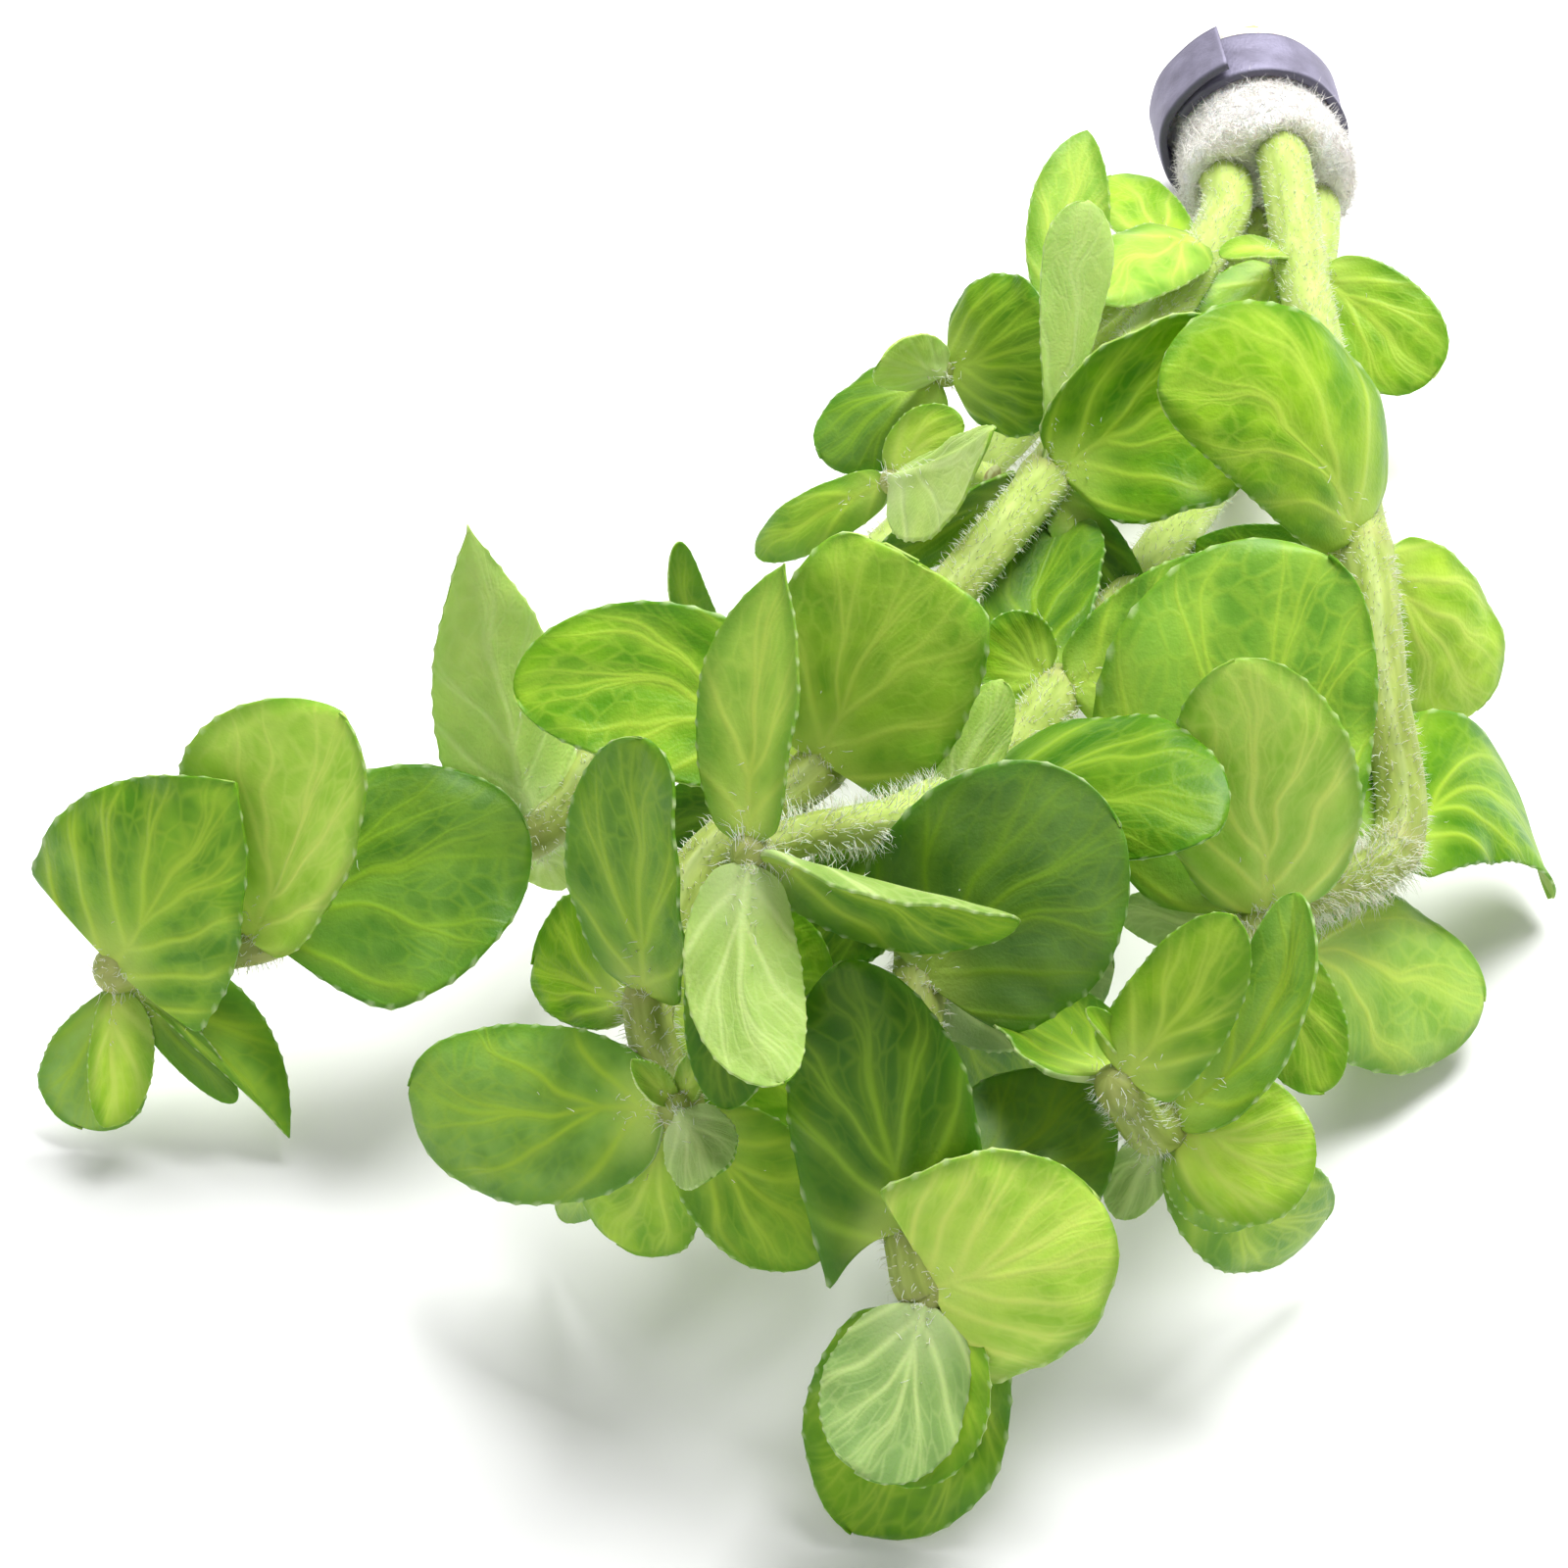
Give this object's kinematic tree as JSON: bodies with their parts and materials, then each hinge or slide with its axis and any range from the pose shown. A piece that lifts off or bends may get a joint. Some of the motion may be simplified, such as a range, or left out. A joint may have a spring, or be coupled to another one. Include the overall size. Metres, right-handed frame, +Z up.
{
  "type": "aquarium plant bunch",
  "caption": "Bunch of cut variegated bacopa lanigera stems with round veined leaves, lying on its side, held in a foam plug by a lead strip.",
  "frame": {"origin": "middle of the footprint, on the surface the bunch lies on", "axes": "+Y along the bunch from its leafy tips towards the foam plug, +Z up, +X to the right of someone looking from the tips towards the plug"},
  "size_m": [0.1485, 0.1983, 0.072],
  "materials": {
    "foam": "white fibrous open-cell foam, matt, stained beige and pink",
    "lead": "dull purple-grey lead strip",
    "stem": "pale yellow-green hairy plant stem",
    "leaf": "green leaf with pale yellow-green veins, paler and greyer below"
  },
  "bodies": {
    "root": {"collar_foam": "foam", "lead_strip": "lead", "left_stem": "stem", "centre_stem": "stem", "front_stem": "stem", "right_stem": "stem", "top_shoot": "stem", "pale_shoot": "stem", "upper_shoot": "stem", "left_leaf_1": "leaf", "left_leaf_2": "leaf", "left_leaf_3": "leaf", "left_leaf_4": "leaf", "left_leaf_5": "leaf", "left_leaf_6": "leaf", "centre_leaf_1": "leaf", "centre_leaf_2": "leaf", "centre_leaf_3": "leaf", "centre_leaf_4": "leaf", "centre_leaf_5": "leaf", "centre_leaf_6": "leaf", "centre_leaf_7": "leaf", "centre_leaf_8": "leaf", "centre_leaf_9": "leaf", "centre_leaf_10": "leaf", "centre_leaf_11": "leaf", "centre_leaf_12": "leaf", "upper_leaf_1": "leaf", "upper_leaf_2": "leaf", "upper_leaf_3": "leaf", "pale_leaf_1": "leaf", "pale_leaf_2": "leaf", "front_leaf_1": "leaf", "front_leaf_2": "leaf", "front_leaf_3": "leaf", "front_leaf_4": "leaf", "front_leaf_5": "leaf", "front_leaf_6": "leaf", "front_leaf_7": "leaf", "front_leaf_8": "leaf", "front_leaf_9": "leaf", "front_leaf_10": "leaf", "front_leaf_11": "leaf", "front_leaf_12": "leaf", "top_leaf_1": "leaf", "top_leaf_2": "leaf", "top_leaf_3": "leaf", "top_leaf_4": "leaf", "right_leaf_1": "leaf", "right_leaf_2": "leaf", "right_leaf_3": "leaf", "right_leaf_4": "leaf", "right_leaf_5": "leaf", "right_leaf_6": "leaf", "right_leaf_7": "leaf", "right_leaf_8": "leaf", "right_leaf_9": "leaf", "right_leaf_10": "leaf", "right_leaf_11": "leaf", "right_leaf_12": "leaf"}
  },
  "joints": []
}
